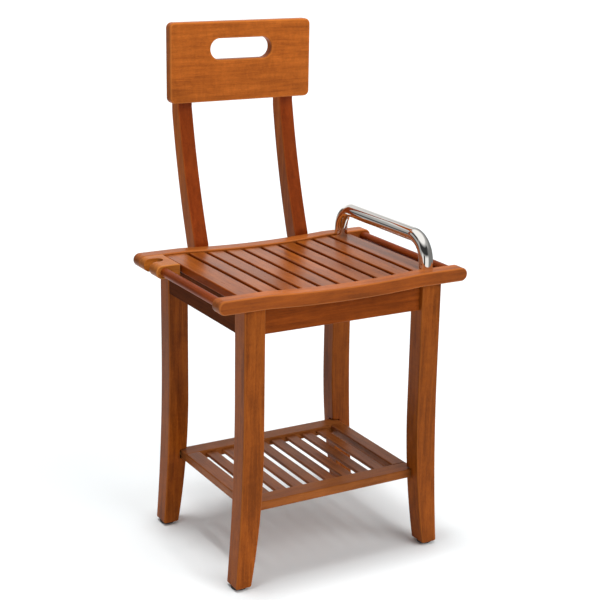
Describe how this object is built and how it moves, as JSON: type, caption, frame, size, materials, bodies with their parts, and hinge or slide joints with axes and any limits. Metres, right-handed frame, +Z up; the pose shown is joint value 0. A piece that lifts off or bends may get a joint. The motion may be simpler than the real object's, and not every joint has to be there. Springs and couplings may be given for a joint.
{
  "type": "teak shower chair",
  "caption": "Teak shower chair with a slatted saddle seat, raked back with hand hole, lower shelf, grab handle, side bars and screw-adjusted feet.",
  "frame": {"origin": "on the floor under the middle of the seat", "axes": "+X to the right seen from the front, +Y to the back, +Z up"},
  "size_m": [0.426, 0.3888, 0.8095],
  "materials": {
    "teak": "oiled satin teak",
    "beech": "plain dowel, hidden",
    "chrome": "bright chrome plate",
    "stainless": "plain stainless",
    "brass": "turned brass",
    "pad": "matt black"
  },
  "bodies": {
    "frame": {"leg_front_left": "teak", "leg_front_right": "teak", "leg_rear_left": "teak", "leg_rear_right": "teak", "seat_rail_front": "teak", "seat_rail_rear": "teak", "apron_front": "teak", "apron_rear": "teak", "apron_left": "teak", "apron_right": "teak", "seat_slat_1": "teak", "seat_slat_2": "teak", "seat_slat_3": "teak", "seat_slat_4": "teak", "seat_slat_5": "teak", "seat_slat_6": "teak", "seat_slat_7": "teak", "seat_slat_8": "teak", "seat_slat_9": "teak", "seat_slat_10": "teak", "side_bar_left": "teak", "side_bar_right": "teak", "holder_block": "teak", "back_post_left": "teak", "back_post_right": "teak", "back_panel": "teak", "shelf_rail_front": "teak", "shelf_rail_rear": "teak", "shelf_end_left": "teak", "shelf_end_right": "teak", "shelf_slat_1": "teak", "shelf_slat_2": "teak", "shelf_slat_3": "teak", "shelf_slat_4": "teak", "shelf_slat_5": "teak", "shelf_slat_6": "teak", "shelf_slat_7": "teak", "shelf_slat_8": "teak", "shelf_dowels": "beech", "holder_dowels": "beech", "grab_handle": "chrome", "handle_plugs": "stainless", "handle_studs": "stainless", "post_bolts": "stainless", "panel_screws": "stainless", "post_sleeves": "brass", "foot_inserts": "brass"},
    "pad_front_left": {"foot_pad_front_left": "pad"},
    "stud_front_left": {"foot_stud_front_left": "stainless"},
    "pad_front_right": {"foot_pad_front_right": "pad"},
    "stud_front_right": {"foot_stud_front_right": "stainless"},
    "pad_rear_left": {"foot_pad_rear_left": "pad"},
    "stud_rear_left": {"foot_stud_rear_left": "stainless"},
    "pad_rear_right": {"foot_pad_rear_right": "pad"},
    "stud_rear_right": {"foot_stud_rear_right": "stainless"}
  },
  "joints": [
    {"name": "foot_drop_front_left", "type": "slide", "parent": "frame", "child": "pad_front_left", "axis": [0, 0, -1], "range_m": [0, 0.008]},
    {"name": "foot_turn_front_left", "type": "hinge", "parent": "pad_front_left", "child": "stud_front_left", "pos_m": [-0.16915, -0.1295, 0.0012], "axis": [0, 0, 1], "range_deg": [0, 2304]},
    {"name": "foot_drop_front_right", "type": "slide", "parent": "frame", "child": "pad_front_right", "axis": [0, 0, -1], "range_m": [0, 0.008]},
    {"name": "foot_turn_front_right", "type": "hinge", "parent": "pad_front_right", "child": "stud_front_right", "pos_m": [0.16915, -0.1295, 0.0012], "axis": [0, 0, 1], "range_deg": [0, 2304]},
    {"name": "foot_drop_rear_left", "type": "slide", "parent": "frame", "child": "pad_rear_left", "axis": [0, 0, -1], "range_m": [0, 0.008]},
    {"name": "foot_turn_rear_left", "type": "hinge", "parent": "pad_rear_left", "child": "stud_rear_left", "pos_m": [-0.16915, 0.1295, 0.0012], "axis": [0, 0, 1], "range_deg": [0, 2304]},
    {"name": "foot_drop_rear_right", "type": "slide", "parent": "frame", "child": "pad_rear_right", "axis": [0, 0, -1], "range_m": [0, 0.008]},
    {"name": "foot_turn_rear_right", "type": "hinge", "parent": "pad_rear_right", "child": "stud_rear_right", "pos_m": [0.16915, 0.1295, 0.0012], "axis": [0, 0, 1], "range_deg": [0, 2304]}
  ],
  "couplings": [
    {"joint": "foot_drop_front_left", "follows": "foot_turn_front_left", "m_per_rad": 0.00019894},
    {"joint": "foot_drop_front_right", "follows": "foot_turn_front_right", "m_per_rad": 0.00019894},
    {"joint": "foot_drop_rear_left", "follows": "foot_turn_rear_left", "m_per_rad": 0.00019894},
    {"joint": "foot_drop_rear_right", "follows": "foot_turn_rear_right", "m_per_rad": 0.00019894}
  ]
}
